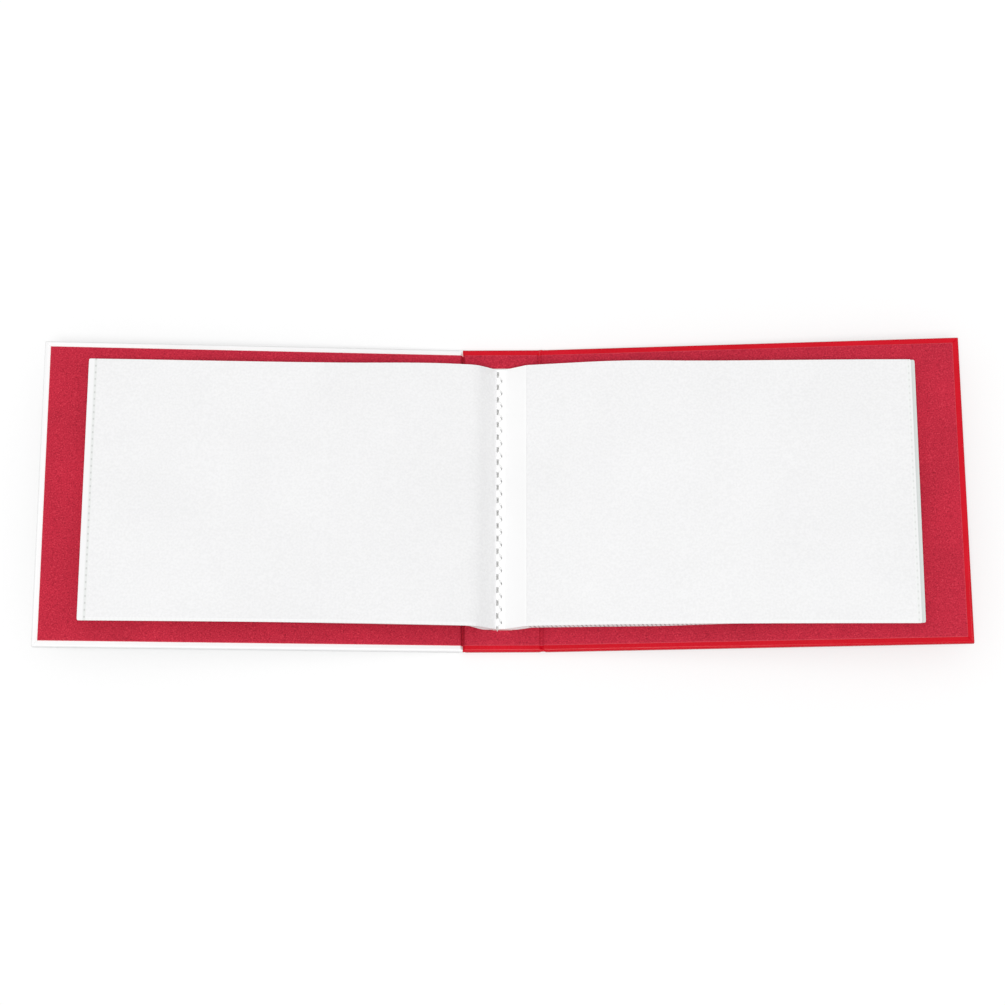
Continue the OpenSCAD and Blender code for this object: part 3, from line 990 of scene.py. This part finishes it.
def zigzag_thread():
    """The needle thread: across the fold from slit to slit, and down through each slit."""
    top = box(f"sheet_{SHEETS}_fold")[1][2] + THREAD_D / 2
    deep = box("binding_strip")[0][2] + THREAD_D
    leg = SLIT_L[LEFT] / 2 - THREAD_D
    path = []
    for side, at in slits():
        for along, down in DIVE:
            path.append((SEAM_X[side], at + along * leg, top + down * (deep - top)))
    surface = Surface()
    tube(surface, path, THREAD_D / 2)
    made = surface.make("zigzag_thread", RIGHT, thread_white, in_block=True)
    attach(made, "spine")
    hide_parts("needle_thread")


def dress(node, material):
    """Gives a CAD node that stays in sight its finish."""
    slots = frame["nodes"][node].data.materials
    slots.clear()
    slots.append(material)


spine_skin()
linings()
for side in SIDES:
    cover_skin(side)
    joint_skin(side)
    for k in range(1, SHEETS + 1):
        leaf(side, k)
for k in range(1, SHEETS + 1):
    fold(k)
zigzag_thread()
for node in ("spine_board", "front_cover_board", "back_cover_board"):
    dress(node, board_grey)
dress("binding_strip", strip_white)
dress("bobbin_thread", thread_white)

# Stage, light and camera

FILL = 0.6  # level of the light from all sides
KEY_PLACE = (-0.06, -0.26, 0.8)
KEY_SPREAD = math.radians(26)
KEY_LEVEL = 1.71
FLOOR_HALF = 4.0  # half the floor's width, in metres
FLOOR_DROP = 5e-5  # from the album down to the floor, in metres
FLOOR_WHITE = 0.5
FLOOR_LIFT = 0.46  # glow that brings the floor up to white where it is seen

# The camera, fitted to the photograph
FOCAL_PX = 2382.95
PHOTO_PX = 1005
SENSOR = 36.0
CLIP_START = 0.01  # metres
CAMERA_DISTANCE = 957.27
CAMERA_ELEVATION = math.radians(75.351)
CAMERA_AZIMUTH = math.radians(0.5)
CAMERA_ROLL = math.radians(-0.709)
CAMERA_TARGET = (0.144, -1.0, 0.0)


def by_sight(tree, seen, unseen):
    """A level for rays from the camera, in reflections and through glass, and one for all other rays."""
    path = tree.nodes.new("ShaderNodeLightPath")
    shows = path.outputs["Is Camera Ray"]
    for kind in ("Is Glossy Ray", "Is Transmission Ray"):
        either = tree.nodes.new("ShaderNodeMath")
        either.operation = "MAXIMUM"
        tree.links.new(shows, either.inputs[0])
        tree.links.new(path.outputs[kind], either.inputs[1])
        shows = either.outputs[0]
    level = tree.nodes.new("ShaderNodeMapRange")
    tree.links.new(shows, level.inputs["Value"])
    level.inputs["To Min"].default_value = unseen
    level.inputs["To Max"].default_value = seen
    return level.outputs["Result"]


def make_world():
    """White where it is seen, and a level fill light elsewhere."""
    world = bpy.data.worlds.new("studio")
    world.use_nodes = True
    tree = world.node_tree
    background = tree.nodes["Background"]
    background.inputs["Color"].default_value = (1, 1, 1, 1)
    tree.links.new(by_sight(tree, seen=1, unseen=FILL), background.inputs["Strength"])
    bpy.context.scene.world = world


def floor_finish():
    """Matte white that keeps a shadow, with a glow where it is seen."""
    material = bpy.data.materials.new("white_floor")
    material.use_nodes = True
    tree = material.node_tree
    tree.nodes.clear()
    matte = tree.nodes.new("ShaderNodeBsdfDiffuse")
    matte.inputs["Color"].default_value = (FLOOR_WHITE, FLOOR_WHITE, FLOOR_WHITE, 1)
    glow = tree.nodes.new("ShaderNodeEmission")
    tree.links.new(by_sight(tree, seen=FLOOR_LIFT, unseen=0), glow.inputs["Strength"])
    both = tree.nodes.new("ShaderNodeAddShader")
    tree.links.new(matte.outputs[0], both.inputs[0])
    tree.links.new(glow.outputs[0], both.inputs[1])
    tree.links.new(both.outputs[0], tree.nodes.new("ShaderNodeOutputMaterial").inputs["Surface"])
    return material


def make_floor():
    """A plain white floor just below the album."""
    mesh = bpy.data.meshes.new("floor")
    corners = [(-1, -1), (1, -1), (1, 1), (-1, 1)]
    points = [(x * FLOOR_HALF, y * FLOOR_HALF, -FLOOR_DROP) for x, y in corners]
    mesh.from_pydata(points, [], [(0, 1, 2, 3)])
    mesh.materials.append(floor_finish())
    put("floor", mesh)


def make_key():
    """One broad soft lamp, high up in front and a little to the left."""
    lamp = bpy.data.lights.new("key", "SUN")
    lamp.angle = KEY_SPREAD
    lamp.energy = KEY_LEVEL
    key = put("key", lamp)
    key.location = KEY_PLACE
    key.rotation_euler = (-Vector(KEY_PLACE)).to_track_quat("-Z", "Y").to_euler()


def make_camera():
    """The camera at the photograph's place."""
    e, a, r = CAMERA_ELEVATION, CAMERA_AZIMUTH, CAMERA_ROLL
    back = Vector((math.sin(a) * math.cos(e), -math.cos(a) * math.cos(e), math.sin(e)))
    level = Vector((math.cos(a), math.sin(a), 0))
    upward = back.cross(level)
    right = level * math.cos(r) + upward * math.sin(r)
    up = upward * math.cos(r) - level * math.sin(r)
    place = (Vector(CAMERA_TARGET) + back * CAMERA_DISTANCE) * MM
    data = bpy.data.cameras.new("camera")
    data.sensor_width = SENSOR
    data.lens = FOCAL_PX * SENSOR / PHOTO_PX
    data.clip_start = CLIP_START
    camera = put("camera", data)
    turn = Matrix((right, up, back)).transposed()
    camera.matrix_world = Matrix.Translation(place) @ turn.to_4x4()
    bpy.context.scene.camera = camera


make_world()
make_floor()
make_key()
make_camera()
bpy.context.scene.view_settings.view_transform = "Standard"
